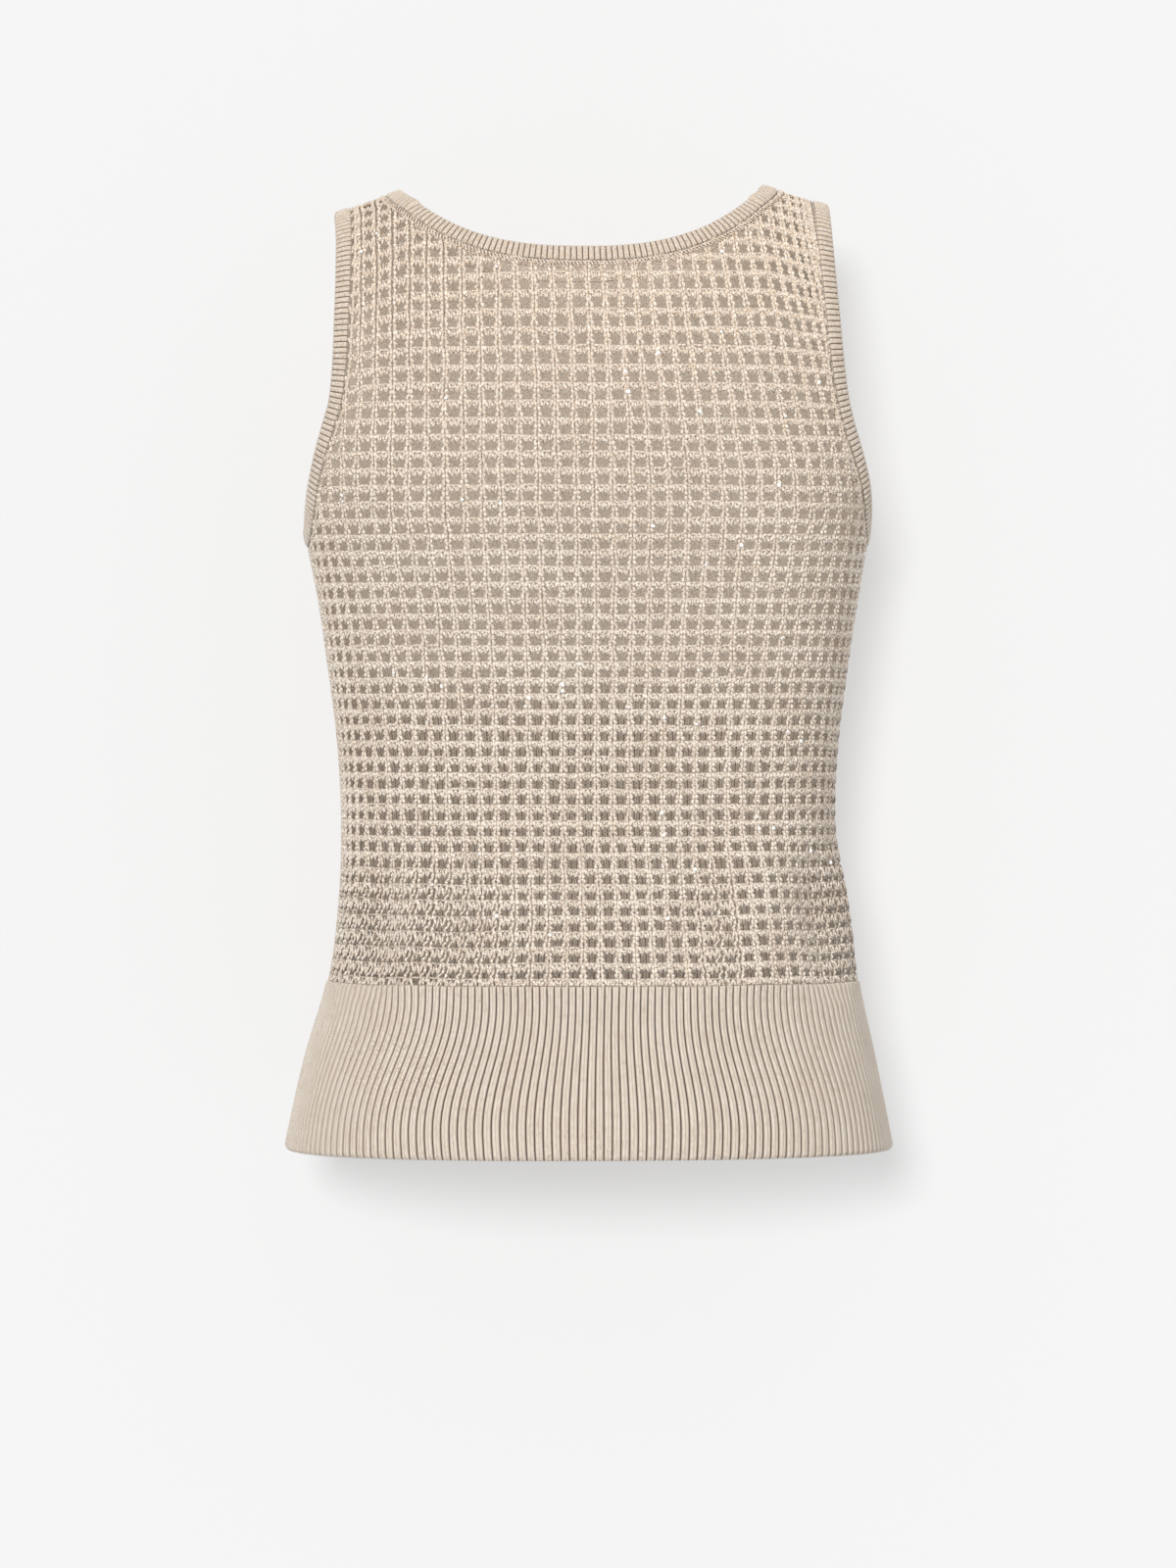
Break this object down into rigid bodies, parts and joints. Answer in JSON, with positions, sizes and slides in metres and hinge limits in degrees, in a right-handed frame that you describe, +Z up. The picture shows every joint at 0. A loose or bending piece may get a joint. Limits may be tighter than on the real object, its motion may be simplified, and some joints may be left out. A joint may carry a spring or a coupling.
{
  "type": "openwork knit top",
  "caption": "Sleeveless hip-length pullover top in an open square-mesh knit, with ribbed neck, armhole bands and a deep ribbed hem, in hollow worn shape.",
  "frame": {"origin": "midway between the shoulders, level with where the straps rest on them", "axes": "+Z up; the garment's back faces -Y and its front +Y; +X is the wearer's right"},
  "size_m": [0.3354, 0.2212, 0.5314],
  "materials": {
    "net_knit": "matt cotton-like yarn with a faint sheen, warm cream, in a square openwork net",
    "rib_knit": "matt cotton-like yarn, warm cream, in a dense fine rib"
  },
  "bodies": {
    "root": {"back_panel": "net_knit", "front_panel": "net_knit", "back_hem_rib": "rib_knit", "front_hem_rib": "rib_knit", "neck_band": "rib_knit", "armhole_band_left": "rib_knit", "armhole_band_right": "rib_knit"}
  },
  "joints": []
}
